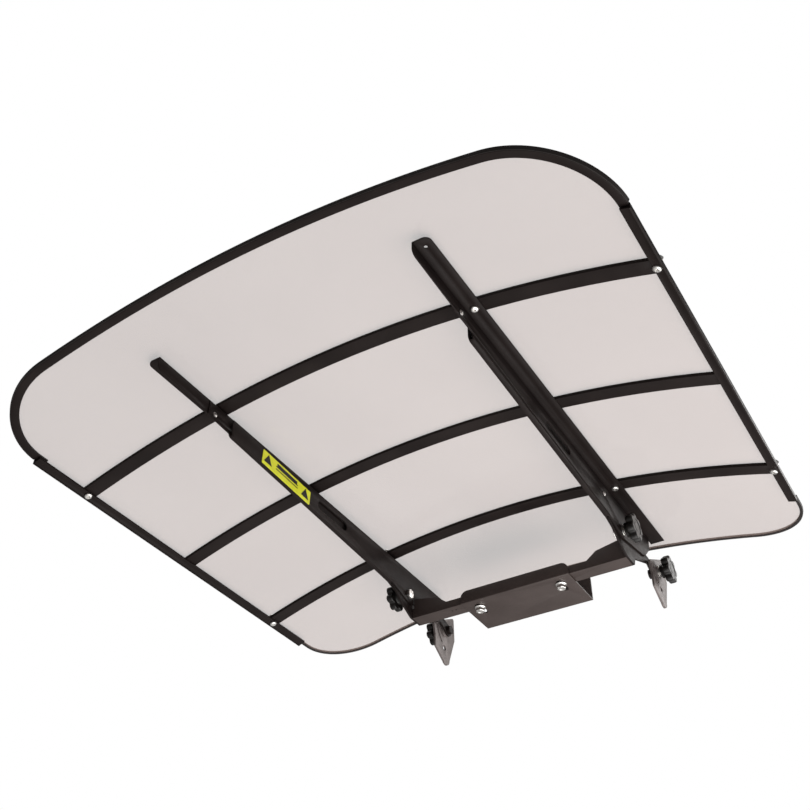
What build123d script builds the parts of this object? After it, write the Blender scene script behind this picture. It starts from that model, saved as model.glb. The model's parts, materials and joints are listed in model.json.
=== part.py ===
"""Overhead tinted screen on two folding arms, with a slotted bracket that clamps on a cross bar.

Frame: +X to the right, +Y to the rear, +Z up. The origin is on the seat of the centre bracket,
where the bar rests. All sizes are in millimetres.
"""

from math import asin, atan2, cos, degrees, radians, sin, sqrt
import os

from build123d import *

os.makedirs("parts", exist_ok=True)

# ---- Screen -------------------------------------------------------------------------------
screen_width = 1016.0
screen_front = -888.0
screen_rear = 118.0
arch_radius = 1578.0
crown_height = 121.0
sheet_thickness = 3.0
front_corner_radius = 137.0
rear_corner_radius = 108.0
front_edge_bulge = 3.0
rear_edge_bulge = 18.0
trim_wall = 1.2
trim_lip = 4.0

# ---- Ribs, bow and rails ------------------------------------------------------------------
rib_width = 26.0
rib_thickness = 6.0
rib_middle_y = -384.0
rib_pitch = 255.5
bow_width = 13.0
bow_rise = 2.5
rail_leg = 14.5
rail_wall = 3.0
rail_lip_drop = 2.5
rail_setback = 135.0
rail_rear = -29.0
bow_overlap = 16.0

# ---- Arms ---------------------------------------------------------------------------------
arm_inner_x = 212.9
arm_sheet = 1.8
arm_gap = 4.6
flange_width = 24.0
arm_setback = 97.0
arm_tip_depth = 22.0
angle_front_depth = 22.5
angle_rear_depth = 59.0
angle_rear_y = -143.0
channel_setback = 169.0
channel_front_depth = 38.0
channel_rear_depth = 60.5
channel_floor_end_y = -138.0
channel_lip_drop = 6.5
channel_tongue = 52.0
arm_end_top_y = 57.0
arm_end_middle_y = 53.0
arm_end_bottom_y = 21.0
arm_end_middle_drop = 26.0
arm_end_bottom_drop = 56.5
flange_end_y = 75.0
slot_centre_y = -340.0
slot_drop = 29.5
slot_length = 90.0
slot_height = 18.0
arm_bolt_setback = 132.0
arm_bolt_front_drop = 20.5
arm_bolt_rear_y = -157.0
arm_bolt_rear_drop = 27.0
flange_hole_setback = 16.0
flange_hole_radius = 2.6
tip_radius = 11.0

# ---- Hinge frame --------------------------------------------------------------------------
pivot_y = -82.0
pivot_z = 41.8
pivot_wall_radius = 16.0
lug_pivot_y = 75.0
lug_pivot_z = 38.7
cheek_end_radius = 12.0
cheek_front_reach = 54.0
cross_leg = 32.0
cross_rise = 15.0
cross_wall = 3.0
gusset_inner_x = 142.0
gusset_knee_x = 161.0
gusset_knee_height = 30.0
gusset_height = 40.0
gusset_gap = 1.4
shoulder_step = 5.0
cross_hole_x = 132.0
cross_hole_radius = 3.0

# ---- Bracket ------------------------------------------------------------------------------
bracket_width = 217.0
bracket_wall = 3.0
bracket_front_y = -70.0
bracket_rear_y = 39.7
bracket_front_height = 22.4
bracket_rear_height = 47.0
bracket_slot_x = 82.0
bracket_slot_y = -36.5
bracket_slot_length = 38.6
bracket_bolt_y = -42.0

# ---- Lugs ---------------------------------------------------------------------------------
lug_thickness = 4.0
lug_boss_radius = 12.0
lug_top_front_y = 31.0
lug_top_front_z = 43.0
lug_top_rear_y = 112.0
lug_top_rear_z = 84.0
lug_waist_y = 114.0
lug_waist_z = 34.0
lug_chin_y = 37.0
lug_chin_z = -7.0
lug_tip_radius = 13.0
lug_tip_y = 79.0
lug_tip_z = -19.0
lug_hole_y = 72.5
lug_hole_z = 1.5
lug_hole_radius = 5.25
lug_slot_width = 4.6
lug_slot_points = [(45.0, 42.0), (50.0, 26.0), (61.0, 12.0)]

# ---- Fasteners and knobs ------------------------------------------------------------------
hinge_bolt_radius = 5.0
running_gap = 0.05
body_gap = 0.3
hex_across_flats = 17.0
hex_height = 6.4
knob_radius = 26.0
knob_lobes = 7
knob_lobe_radius = 7.2
knob_valley_depth = 5.4
knob_thickness = 13.0
knob_hub_radius = 13.0
knob_hub_length = 8.0
insert_radius = 8.0
insert_stand_out = 2.0
insert_depth = 6.0
bolt_end = 4.0
washer_radius = 11.0
washer_thickness = 2.0
small_bolt_radius = 3.0
small_head_radius = 6.5
small_head_height = 3.6
small_head_rim = 1.2
small_socket_flats = 4.0
small_washer_radius = 8.0
rail_washer_radius = 6.0
small_washer_thickness = 1.6
small_nut_flats = 10.0
small_nut_height = 5.0
flange_bolt_head_radius = 10.3
flange_bolt_flats = 15.0
flange_bolt_flange = 2.5
flange_bolt_height = 9.0
nut_height = 8.0
rivet_head_radius = 4.5
rivet_head_height = 2.2
rivet_tail_radius = 4.2
rivet_tail_height = 1.2

# ---- Label --------------------------------------------------------------------------------
label_length = 134.0
label_height = 27.0
label_thickness = 0.8
label_y = -477.0
label_drop = 31.3
label_mark_depth = 0.3
label_triangle_radius = 12.0
label_end_margin = 15.0

# ---- Places worked out from the sizes above -------------------------------------------------
half_width = screen_width / 2
sheet_half_width = half_width - rail_wall
rail_front = screen_front + rail_setback
arm_tip_y = screen_front + arm_setback
channel_front_y = arm_tip_y + channel_setback
arm_bolt_front_y = arm_tip_y + arm_bolt_setback
flange_hole_y = arm_tip_y + flange_hole_setback
small_hole_radius = small_bolt_radius + body_gap
cross_foot = body_gap
cross_front_y = bracket_front_y + bracket_wall + 3.0
cheek_thickness = arm_gap - 2 * body_gap
bracket_slot_width = 2 * hinge_bolt_radius + 1.0
arch_centre_z = crown_height - arch_radius
sheet_inner_radius = arch_radius + rib_thickness
sheet_outer_radius = sheet_inner_radius + sheet_thickness
rib_rows = [rib_middle_y - rib_pitch, rib_middle_y, rib_middle_y + rib_pitch]
bolted_rows = [rib_rows[0], rib_rows[2]]
sides = [-1, 1]

leaf_inner_x = arm_inner_x + arm_sheet
leaf_outer_x = leaf_inner_x + arm_gap
web_inner_x = leaf_outer_x + arm_sheet
web_outer_x = web_inner_x + arm_sheet
flange_outer_x = web_outer_x + flange_width
cheek_x = leaf_inner_x + arm_gap / 2
rib_bolt_x = web_outer_x + 11.0
rail_bolt_x = half_width - rail_wall - small_head_radius


def arch_height(radius, x):
    """Height of the arch of the given radius at the distance x from the middle."""
    return arch_centre_z + sqrt(radius**2 - x**2)


flange_top = arch_height(arch_radius, flange_outer_x) - 0.1
flange_under = flange_top - arm_sheet
tall = 400.0


def side_name(side):
    return "right" if side > 0 else "left"


def save(piece, name):
    """Label a finished piece and write it to its own file."""
    piece.part.label = name
    export_step(piece.part, f"parts/{name}.step")


def side_plane(x):
    """Plane at the given X whose sketch axes are Y and Z; it faces +X."""
    return Plane(origin=(x, 0, 0), x_dir=(0, 1, 0), z_dir=(1, 0, 0))


def front_plane(y):
    """Plane at the given Y whose sketch axes are X and Z; it faces -Y."""
    return Plane(origin=(0, y, 0), x_dir=(1, 0, 0), z_dir=(0, -1, 0))


def layer(inner_radius, outer_radius):
    """Keep only what lies between two arch radii; used inside a part block."""
    with BuildSketch(front_plane(screen_rear + 50)) as ring:
        with Locations((0, arch_centre_z)):
            Circle(outer_radius)
            Circle(inner_radius, mode=Mode.SUBTRACT)
    extrude(ring.sketch, amount=screen_rear - screen_front + 100, mode=Mode.INTERSECT)


def outline(inset):
    """Plan outline of the screen, moved inwards by inset; used inside a sketch block."""
    x = sheet_half_width
    front_side_y = screen_front + trim_wall + front_edge_bulge
    rear_side_y = screen_rear - trim_wall - rear_edge_bulge
    with BuildSketch(mode=Mode.PRIVATE) as plan:
        with BuildLine():
            Line((-x, front_side_y), (-x, rear_side_y))
            ThreePointArc((-x, rear_side_y), (0, screen_rear - trim_wall), (x, rear_side_y))
            Line((x, rear_side_y), (x, front_side_y))
            ThreePointArc((x, front_side_y), (0, screen_front + trim_wall), (-x, front_side_y))
        make_face()
        corners = plan.vertices().group_by(Axis.Y)
        fillet(corners[0], radius=front_corner_radius)
        fillet(plan.vertices().group_by(Axis.Y)[-1], radius=rear_corner_radius)
        if inset:
            offset(amount=-inset)
    return plan.sketch


def arch_normal_plane(x, y, radius):
    """Plane on the arch at (x, y), facing straight out of the screen."""
    angle = asin(x / radius)
    return Plane(
        origin=(x, y, arch_height(radius, x)),
        x_dir=(cos(angle), 0, -sin(angle)),
        z_dir=(sin(angle), 0, cos(angle)),
    )


rail_bolt_planes = [
    arch_normal_plane(side * rail_bolt_x, y, arch_radius - rail_wall) for side in sides for y in bolted_rows
]
rib_bolt_planes = [
    Plane(origin=(side * rib_bolt_x, y, flange_under)) for side in sides for y in bolted_rows
]


def drill(planes, radius, depth, back=20.0):
    """Cut round holes along the normals of the given planes; used inside a part block."""
    for plane in planes:
        with BuildSketch(plane.offset(-back)) as hole:
            Circle(radius)
        extrude(hole.sketch, amount=depth + back, mode=Mode.SUBTRACT)


# ---- Screen sheet ---------------------------------------------------------------------------
with BuildPart() as screen_sheet:
    with BuildSketch(Plane.XY.offset(-tall / 2)):
        add(outline(0))
    extrude(amount=tall)
    layer(sheet_inner_radius, sheet_outer_radius)
    drill(rail_bolt_planes, small_hole_radius, 40)
    drill(rib_bolt_planes, small_hole_radius, 40)
save(screen_sheet, "screen_sheet")


def keep_between(first_y, last_y):
    """Keep only the part between two Y values; used inside a part block."""
    with BuildSketch(front_plane(last_y)) as window:
        Rectangle(2 * screen_width, 4 * tall)
    extrude(window.sketch, amount=last_y - first_y, mode=Mode.INTERSECT)


def sheet_core(lower_radius):
    """The solid that an edge lip goes round: everything inside the outline up to the sheet's top."""
    with BuildPart() as core:
        with BuildSketch(Plane.XY.offset(-tall / 2)):
            add(outline(0))
        extrude(amount=tall)
        layer(lower_radius, sheet_outer_radius)
    return core.part


trims = [
    ("front_trim", screen_front - 1, rail_front, arch_radius + bow_rise, arch_radius),
    ("rear_trim", rail_rear, screen_rear + 1, sheet_inner_radius - trim_wall, sheet_inner_radius),
]
for trim_name, first_y, last_y, lip_radius, core_radius in trims:
    core = sheet_core(core_radius)
    with BuildPart() as trim:
        with BuildSketch(Plane.XY.offset(-tall / 2)):
            add(outline(-trim_wall))
            add(outline(trim_lip), mode=Mode.SUBTRACT)
        extrude(amount=tall)
        layer(lip_radius, sheet_outer_radius + trim_wall)
        keep_between(first_y, last_y)
        add(core, mode=Mode.SUBTRACT)
    save(trim, trim_name)

# ---- Front bow: flat bar under the front edge and round both front corners --------------------
with BuildPart() as front_bow:
    with BuildSketch(Plane.XY.offset(-tall / 2)):
        add(outline(0))
        add(outline(bow_width), mode=Mode.SUBTRACT)
    extrude(amount=tall)
    layer(arch_radius + bow_rise, sheet_inner_radius)
    keep_between(screen_front - 1, rail_front + bow_overlap)
save(front_bow, "front_bow")

# ---- Ribs -------------------------------------------------------------------------------------
for rib_name, rib_y in zip(["rib_front", "rib_middle", "rib_rear"], rib_rows):
    with BuildPart() as rib:
        with BuildSketch(Plane.XY.offset(-tall / 2)):
            with Locations((0, rib_y)):
                Rectangle(2 * sheet_half_width - 0.2, rib_width)
        extrude(amount=tall)
        layer(arch_radius, sheet_inner_radius)
        if rib_y in bolted_rows:
            drill(rail_bolt_planes, small_hole_radius, 40)
            drill(rib_bolt_planes, small_hole_radius, 40)
    save(rib, rib_name)

# ---- Side rails: angle with one leg under the ribs and one standing outside the sheet ----------
rail_top = arch_height(sheet_outer_radius, sheet_half_width) - rail_lip_drop
rail_bottom = arch_height(arch_radius - rail_wall, half_width)
for side in sides:
    with BuildPart() as rail:
        with BuildSketch(Plane.XY.offset(-tall / 2)):
            with Locations((side * (half_width - rail_leg / 2), (rail_front + rail_rear) / 2)):
                Rectangle(rail_leg, rail_rear - rail_front)
        extrude(amount=tall)
        layer(arch_radius - rail_wall, arch_radius)
        with BuildSketch(Plane.XY.offset(rail_bottom)):
            with Locations((side * (half_width - rail_wall / 2), (rail_front + rail_rear) / 2)):
                Rectangle(rail_wall, rail_rear - rail_front)
        extrude(amount=rail_top - rail_bottom)
        drill(rail_bolt_planes, small_hole_radius, 40)
    save(rail, f"side_rail_{side_name(side)}")

# ---- Arms -------------------------------------------------------------------------------------
pivot_point = (pivot_y, pivot_z)
web_bottom_at_pivot = pivot_z - pivot_wall_radius
slot_centre = (slot_centre_y, flange_top - slot_drop)
arm_bolt_places = [
    (arm_bolt_front_y, flange_top - arm_bolt_front_drop),
    (arm_bolt_rear_y, flange_top - arm_bolt_rear_drop),
]
end_points = [
    (arm_end_bottom_y, flange_top - arm_end_bottom_drop),
    (arm_end_middle_y, flange_top - arm_end_middle_drop),
    (arm_end_top_y, flange_under),
]


def arm_holes(first_x, last_x, bolts):
    """Slot, pivot hole and bolt holes through the walls of an arm; used inside a part block."""
    with BuildSketch(side_plane(first_x)) as holes:
        with Locations(slot_centre):
            SlotOverall(slot_length, slot_height)
        with Locations(pivot_point):
            Circle(hinge_bolt_radius + running_gap)
        if bolts:
            with Locations(*bolts):
                Circle(small_bolt_radius)
    extrude(holes.sketch, amount=last_x - first_x, mode=Mode.SUBTRACT)


def arm_angle_part(side):
    """Full-length angle: outer web and top flange."""
    near = web_inner_x if side > 0 else -web_outer_x
    with BuildPart() as angle:
        with BuildSketch(side_plane(near)):
            with BuildLine():
                Polyline(
                    (arm_tip_y, flange_top),
                    (arm_tip_y, flange_top - arm_tip_depth),
                    (channel_front_y, flange_top - angle_front_depth - 8.0),
                    (angle_rear_y, flange_top - angle_rear_depth),
                    (pivot_y - pivot_wall_radius, web_bottom_at_pivot + 4.0),
                    (pivot_y, web_bottom_at_pivot),
                    *end_points[:2],
                    (arm_end_top_y, flange_top),
                    close=True,
                )
            make_face()
        extrude(amount=arm_sheet)
        with BuildSketch(Plane.XY.offset(flange_under)):
            with Locations((side * (web_inner_x + flange_outer_x) / 2, (arm_tip_y + flange_end_y) / 2)):
                Rectangle(flange_outer_x - web_inner_x, flange_end_y - arm_tip_y)
        extrude(amount=arm_sheet)
        upright = angle.edges().filter_by(Axis.Z).filter_by_position(Axis.Y, arm_tip_y - 1, arm_tip_y + 1)
        fillet(upright.sort_by(Axis.X)[-1 if side > 0 else 0], radius=tip_radius)
        lower = angle.edges().filter_by(Axis.X).filter_by_position(Axis.Y, arm_tip_y - 1, arm_tip_y + 1)
        fillet(lower.sort_by(Axis.Z)[0], radius=tip_radius)
        arm_holes(near - 1, near + arm_sheet + 1, arm_bolt_places)
        drill(rib_bolt_planes, small_hole_radius, 10)
        with BuildSketch(Plane.XY.offset(flange_under - 1)):
            with Locations((side * (rib_bolt_x), flange_hole_y)):
                Circle(flange_hole_radius)
        extrude(amount=arm_sheet + 2, mode=Mode.SUBTRACT)
    return angle


def arm_channel_part(side):
    """Narrow folded U: inner leaf, floor and outer leaf, the outer leaf reaching further forward."""
    near = arm_inner_x if side > 0 else -web_inner_x
    cavity = leaf_inner_x if side > 0 else -leaf_outer_x
    inner = arm_inner_x if side > 0 else -leaf_inner_x
    front_bottom = flange_top - channel_front_depth
    rear_bottom = flange_top - channel_rear_depth
    lip = flange_under - channel_lip_drop
    with BuildPart() as channel:
        with BuildSketch(side_plane(near)):
            with BuildLine():
                Polyline(
                    (channel_front_y, flange_under),
                    (channel_front_y, front_bottom),
                    (angle_rear_y, rear_bottom),
                    (channel_floor_end_y, rear_bottom),
                    (pivot_y - pivot_wall_radius, web_bottom_at_pivot + 4.0),
                    (pivot_y, web_bottom_at_pivot),
                    *end_points,
                    close=True,
                )
            make_face()
            fillet(
                [v for v in vertices() if abs(v.Y - front_bottom) < 0.01 and v.X < channel_front_y + 1],
                radius=8,
            )
        extrude(amount=web_inner_x - arm_inner_x)
        with BuildSketch(side_plane(cavity)):
            with BuildLine():
                Polyline(
                    (channel_front_y - 1, flange_under + 1),
                    (channel_front_y - 1, front_bottom + arm_sheet),
                    (angle_rear_y, rear_bottom + arm_sheet),
                    (channel_floor_end_y, rear_bottom + arm_sheet),
                    (channel_floor_end_y, web_bottom_at_pivot - 10),
                    (arm_end_top_y + 1, web_bottom_at_pivot - 10),
                    (arm_end_top_y + 1, flange_under + 1),
                    close=True,
                )
            make_face()
        extrude(amount=arm_gap, mode=Mode.SUBTRACT)
        with BuildSketch(side_plane(inner - 1)):
            with Locations(((channel_front_y + arm_end_top_y) / 2, (lip + flange_top + 10) / 2)):
                Rectangle(arm_end_top_y - channel_front_y + 20, flange_top + 10 - lip)
        extrude(amount=arm_sheet + 2, mode=Mode.SUBTRACT)
        outer = leaf_outer_x if side > 0 else -web_inner_x
        tongue_low = flange_top - angle_front_depth - 5.0
        with BuildSketch(side_plane(outer)):
            with Locations((channel_front_y - channel_tongue / 2 + 1, (flange_under + tongue_low) / 2)):
                Rectangle(channel_tongue + 2, flange_under - tongue_low)
        extrude(amount=arm_sheet)
        arm_holes(near - 1, near + web_inner_x - arm_inner_x + 1, [])
        with BuildSketch(side_plane(outer - 0.5)):
            with Locations(*arm_bolt_places):
                Circle(small_bolt_radius)
        extrude(amount=arm_sheet + 1, mode=Mode.SUBTRACT)
    return channel


for side in sides:
    save(arm_angle_part(side), f"arm_angle_{side_name(side)}")
    save(arm_channel_part(side), f"arm_channel_{side_name(side)}")

# ---- Hinge frame: cheeks that sit between the arm leaves, and the cross-member --------------------
with BuildPart() as cross_member:
    reach = cheek_x - cheek_thickness / 2
    with BuildSketch(front_plane(cross_front_y + cross_wall)):
        with BuildLine():
            rise = cross_foot + cross_rise
            shoulder = rise + shoulder_step
            gusset_edge = arm_inner_x - gusset_gap
            Polyline(
                (-reach, cross_foot),
                (reach, cross_foot),
                (reach, shoulder),
                (gusset_edge, shoulder),
                (gusset_edge, gusset_height),
                (gusset_knee_x, gusset_knee_height),
                (gusset_inner_x, rise),
                (-gusset_inner_x, rise),
                (-gusset_knee_x, gusset_knee_height),
                (-gusset_edge, gusset_height),
                (-gusset_edge, shoulder),
                (-reach, shoulder),
                close=True,
            )
        make_face()
    extrude(amount=cross_wall)
    with BuildSketch(Plane.XY.offset(cross_foot)):
        with Locations((0, cross_front_y + cross_leg / 2)):
            Rectangle(2 * reach, cross_leg)
    extrude(amount=cross_wall)
    with BuildSketch(Plane.XY.offset(cross_foot - 1)):
        with Locations(*[(side * bracket_slot_x, bracket_bolt_y) for side in sides]):
            Circle(hinge_bolt_radius + body_gap)
        with Locations((-cross_hole_x - 4, cross_front_y + 13), (-cross_hole_x + 4, cross_front_y + 13)):
            Circle(cross_hole_radius / 2)
    extrude(amount=cross_wall + 2, mode=Mode.SUBTRACT)
save(cross_member, "cross_member")

for side in sides:
    with BuildPart() as cheek:
        with BuildSketch(side_plane(side * cheek_x - cheek_thickness / 2)):
            with BuildLine():
                Polyline(
                    (pivot_y - cheek_front_reach, pivot_z - 1.0),
                    (pivot_y - 18.0, cross_foot + 15.0),
                    (cross_front_y - 2.0, cross_foot),
                    (cross_front_y + cross_leg, cross_foot),
                    (cross_front_y + cross_leg + 6.0, cross_foot + cross_rise),
                    (lug_pivot_y - 2.5 * cheek_end_radius, lug_pivot_z + 5.0),
                    (lug_pivot_y, lug_pivot_z - cheek_end_radius),
                    (lug_pivot_y, lug_pivot_z + cheek_end_radius),
                    (lug_pivot_y - 2.0 * cheek_end_radius, lug_pivot_z + 20.0),
                    (pivot_y, pivot_z + 20.0),
                    (pivot_y - cheek_front_reach + 6.0, pivot_z + 12.0),
                    close=True,
                )
            make_face()
            with Locations((lug_pivot_y, lug_pivot_z)):
                Circle(cheek_end_radius)
            with Locations((lug_pivot_y, lug_pivot_z), pivot_point):
                Circle(hinge_bolt_radius, mode=Mode.SUBTRACT)
        extrude(amount=cheek_thickness)
    save(cheek, f"cheek_{side_name(side)}")

# ---- Centre bracket: U tray with a low front flange, a tall rear flange and two slots -------------
with BuildPart() as centre_bracket:
    middle_y = (bracket_front_y + bracket_rear_y) / 2
    with BuildSketch(Plane.XY.offset(-bracket_wall)):
        with Locations((0, middle_y)):
            Rectangle(bracket_width, bracket_rear_y - bracket_front_y)
        with Locations(*[(side * bracket_slot_x, bracket_slot_y) for side in sides]):
            SlotOverall(bracket_slot_length, bracket_slot_width, rotation=90, mode=Mode.SUBTRACT)
    extrude(amount=bracket_wall)
    flanges = [
        (bracket_front_y + bracket_wall, bracket_front_height, 14.0),
        (bracket_rear_y, bracket_rear_height, 6.0),
    ]
    for flange_y, flange_height, corner in flanges:
        with BuildSketch(front_plane(flange_y)):
            with Locations((0, (flange_height - bracket_wall) / 2)):
                Rectangle(bracket_width, flange_height + bracket_wall)
            fillet(vertices().group_by(Axis.Y)[-1], radius=corner)
        extrude(amount=bracket_wall)
    folds = centre_bracket.edges().filter_by(Axis.X).filter_by_position(
        Axis.Z, -bracket_wall - 0.1, -bracket_wall + 0.1
    )
    fillet([edge for edge in folds if edge.length > bracket_width - 1], radius=2.0)
save(centre_bracket, "centre_bracket")

# ---- Lugs: pointed plates outside the cheeks, each with a boss, a bent slot and a round hole -------
lug_inner_x = web_outer_x + body_gap
lug_outer_x = lug_inner_x + lug_thickness
lug_boss_x = cheek_x + cheek_thickness / 2 + body_gap
for side in sides:
    lug_start = lug_inner_x if side > 0 else -lug_outer_x
    boss_start = lug_boss_x if side > 0 else -lug_inner_x
    with BuildPart() as lug:
        with BuildSketch(side_plane(lug_start)) as plate:
            with BuildLine():
                Polyline(
                    (lug_top_front_y, lug_top_front_z),
                    (lug_top_rear_y, lug_top_rear_z),
                    (lug_waist_y, lug_waist_z),
                    (lug_tip_y + lug_tip_radius, lug_tip_z),
                    (lug_tip_y, lug_tip_z - lug_tip_radius),
                    (lug_tip_y - lug_tip_radius, lug_tip_z - lug_tip_radius / 2),
                    (lug_chin_y, lug_chin_z),
                    (lug_chin_y, (lug_chin_z + lug_top_front_z) / 2),
                    close=True,
                )
            make_face()
            fillet(plate.vertices(), radius=4.0)
            with Locations((lug_tip_y, lug_tip_z)):
                Circle(lug_tip_radius)
            with Locations((lug_hole_y, lug_hole_z)):
                Circle(lug_hole_radius, mode=Mode.SUBTRACT)
            for first, second in zip(lug_slot_points, lug_slot_points[1:]):
                run = (second[0] - first[0], second[1] - first[1])
                with Locations(((first[0] + second[0]) / 2, (first[1] + second[1]) / 2)):
                    SlotCenterToCenter(
                        sqrt(run[0] ** 2 + run[1] ** 2),
                        lug_slot_width,
                        rotation=degrees(atan2(run[1], run[0])),
                        mode=Mode.SUBTRACT,
                    )
        extrude(amount=lug_thickness)
        with BuildSketch(side_plane(boss_start)):
            with Locations((lug_pivot_y, lug_pivot_z)):
                Circle(lug_boss_radius)
        extrude(amount=lug_inner_x - lug_boss_x)
        with BuildSketch(side_plane(min(lug_start, boss_start) - 1)):
            with Locations((lug_pivot_y, lug_pivot_z)):
                Circle(hinge_bolt_radius + running_gap)
        extrude(amount=lug_outer_x - lug_boss_x + 2, mode=Mode.SUBTRACT)
    save(lug, f"lug_{side_name(side)}")


# ---- Hinge bolts, washers, inserts and knobs -------------------------------------------------------
def outward_plane(side, distance, y, z):
    """Plane at the given distance from the middle, facing away from it."""
    return Plane(origin=(side * distance, y, z), x_dir=(0, side, 0), z_dir=(side, 0, 0))


hinges = {
    "pivot": (pivot_y, pivot_z, arm_inner_x, web_outer_x),
    "lug": (lug_pivot_y, lug_pivot_z, cheek_x - cheek_thickness / 2, lug_outer_x),
}
knob_reach = knob_hub_length + insert_stand_out

with BuildPart() as knob_washers:
    for y, z, inner_x, outer_x in hinges.values():
        for side in sides:
            with BuildSketch(outward_plane(side, outer_x + body_gap, y, z)):
                Circle(washer_radius)
                Circle(hinge_bolt_radius, mode=Mode.SUBTRACT)
            extrude(amount=washer_thickness)
save(knob_washers, "knob_washers")

for hinge_name, (y, z, inner_x, outer_x) in hinges.items():
    knob_start = outer_x + 2 * body_gap + washer_thickness
    with BuildPart() as bolts:
        for side in sides:
            head = outward_plane(side, inner_x - body_gap - hex_height, y, z)
            with BuildSketch(head):
                RegularPolygon(hex_across_flats / 2, 6, major_radius=False)
            extrude(amount=hex_height)
            with BuildSketch(head.offset(hex_height)):
                Circle(hinge_bolt_radius)
            extrude(amount=knob_start + knob_reach + bolt_end - inner_x + body_gap)
    save(bolts, f"{hinge_name}_bolts")

    for side in sides:
        with BuildPart() as insert:
            with BuildSketch(outward_plane(side, knob_start, y, z)):
                Circle(insert_radius)
                Circle(hinge_bolt_radius + running_gap, mode=Mode.SUBTRACT)
            extrude(amount=knob_reach + insert_depth)
        save(insert, f"{hinge_name}_insert_{side_name(side)}")

        with BuildPart() as knob:
            with BuildSketch(outward_plane(side, knob_start + knob_reach, y, z)):
                Circle(knob_radius - knob_valley_depth)
                with PolarLocations(knob_radius - knob_lobe_radius, knob_lobes):
                    Circle(knob_lobe_radius)
                fillet(vertices(), radius=2.5)
            extrude(amount=knob_thickness)
            rims = knob.faces().sort_by(Axis.X)
            chamfer(rims[0].edges() + rims[-1].edges(), length=1.5)
            with BuildSketch(outward_plane(side, knob_start + insert_stand_out, y, z)):
                Circle(knob_hub_radius)
            extrude(amount=knob_hub_length)
            with BuildSketch(outward_plane(side, knob_start, y, z)):
                Circle(insert_radius)
            extrude(amount=knob_reach + insert_depth, mode=Mode.SUBTRACT)
        save(knob, f"{hinge_name}_knob_{side_name(side)}")


# ---- Bracket bolts and nuts ------------------------------------------------------------------------
bracket_bolt_plane = Plane.XY.offset(-bracket_wall - body_gap)
bracket_bolt_places = [(side * bracket_slot_x, bracket_bolt_y) for side in sides]
bracket_grip = bracket_wall + body_gap + cross_foot + cross_wall

with BuildPart() as bracket_bolts:
    for layer_radius, start, height in [
        (flange_bolt_head_radius, -flange_bolt_flange, flange_bolt_flange),
        (hinge_bolt_radius, 0.0, bracket_grip + nut_height + 3),
    ]:
        with BuildSketch(bracket_bolt_plane.offset(start)):
            with Locations(*bracket_bolt_places):
                Circle(layer_radius)
        extrude(amount=height)
    with BuildSketch(bracket_bolt_plane.offset(-flange_bolt_height)):
        with Locations(*bracket_bolt_places):
            RegularPolygon(flange_bolt_flats / 2, 6, major_radius=False)
    extrude(amount=flange_bolt_height)
save(bracket_bolts, "bracket_bolts")

with BuildPart() as bracket_nuts:
    with BuildSketch(Plane.XY.offset(cross_foot + cross_wall)):
        with Locations(*bracket_bolt_places):
            RegularPolygon(hex_across_flats / 2, 6, major_radius=False)
            Circle(hinge_bolt_radius, mode=Mode.SUBTRACT)
    extrude(amount=nut_height)
save(bracket_nuts, "bracket_nuts")


# ---- Small bolts with washers and nuts on top of the sheet -------------------------------------------
def button_bolts(planes, grip):
    """Button-head bolts whose heads hang below the planes and whose shanks go through the grip."""
    with BuildPart() as bolts:
        for plane in planes:
            with BuildSketch(plane.offset(-small_head_rim)):
                Circle(small_head_radius)
            extrude(amount=small_head_rim)
            with BuildSketch(plane.offset(-small_head_rim)):
                Circle(small_head_radius)
            extrude(amount=-(small_head_height - small_head_rim), taper=40)
            with BuildSketch(plane):
                Circle(small_bolt_radius)
            extrude(amount=grip + small_washer_thickness + small_nut_height + 2)
            with BuildSketch(plane.offset(-small_head_height)):
                RegularPolygon(small_socket_flats / 2, 6, major_radius=False)
            extrude(amount=2.0, mode=Mode.SUBTRACT)
    return bolts


def top_rings(planes, height, outer_radius, thickness, hexagonal):
    """Washers or nuts at a height above the planes, with a hole for the small bolt."""
    with BuildPart() as rings:
        for plane in planes:
            with BuildSketch(plane.offset(height)):
                if hexagonal:
                    RegularPolygon(outer_radius, 6, major_radius=False)
                else:
                    Circle(outer_radius)
                Circle(small_bolt_radius, mode=Mode.SUBTRACT)
            extrude(amount=thickness)
    return rings


rail_grip = rail_wall + rib_thickness + sheet_thickness + 0.05
rib_grip = arch_height(sheet_outer_radius, rib_bolt_x - small_washer_radius) - flange_under + 0.05
stacks = [
    ("rail", [plane.offset(-0.05) for plane in rail_bolt_planes], rail_grip + 0.05, rail_washer_radius),
    ("rib", rib_bolt_planes, rib_grip, small_washer_radius),
]
for stack_name, planes, grip, ring_radius in stacks:
    save(button_bolts(planes, grip), f"{stack_name}_bolts")
    washers = top_rings(planes, grip, ring_radius, small_washer_thickness, False)
    save(washers, f"{stack_name}_washers")
    nuts = top_rings(planes, grip + small_washer_thickness, small_nut_flats / 2, small_nut_height, True)
    save(nuts, f"{stack_name}_nuts")

# ---- Rivets that join each angle to its channel --------------------------------------------------------
with BuildPart() as arm_rivets:
    for side in sides:
        for y, z in arm_bolt_places:
            with BuildSketch(outward_plane(side, web_outer_x, y, z)):
                Circle(rivet_head_radius)
            extrude(amount=rivet_head_height, taper=25)
            with BuildSketch(outward_plane(side, leaf_outer_x, y, z)):
                Circle(small_bolt_radius)
            extrude(amount=2 * arm_sheet)
            with BuildSketch(outward_plane(side, leaf_outer_x - rivet_tail_height, y, z)):
                Circle(rivet_tail_radius)
            extrude(amount=rivet_tail_height)
save(arm_rivets, "arm_rivets")

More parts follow.
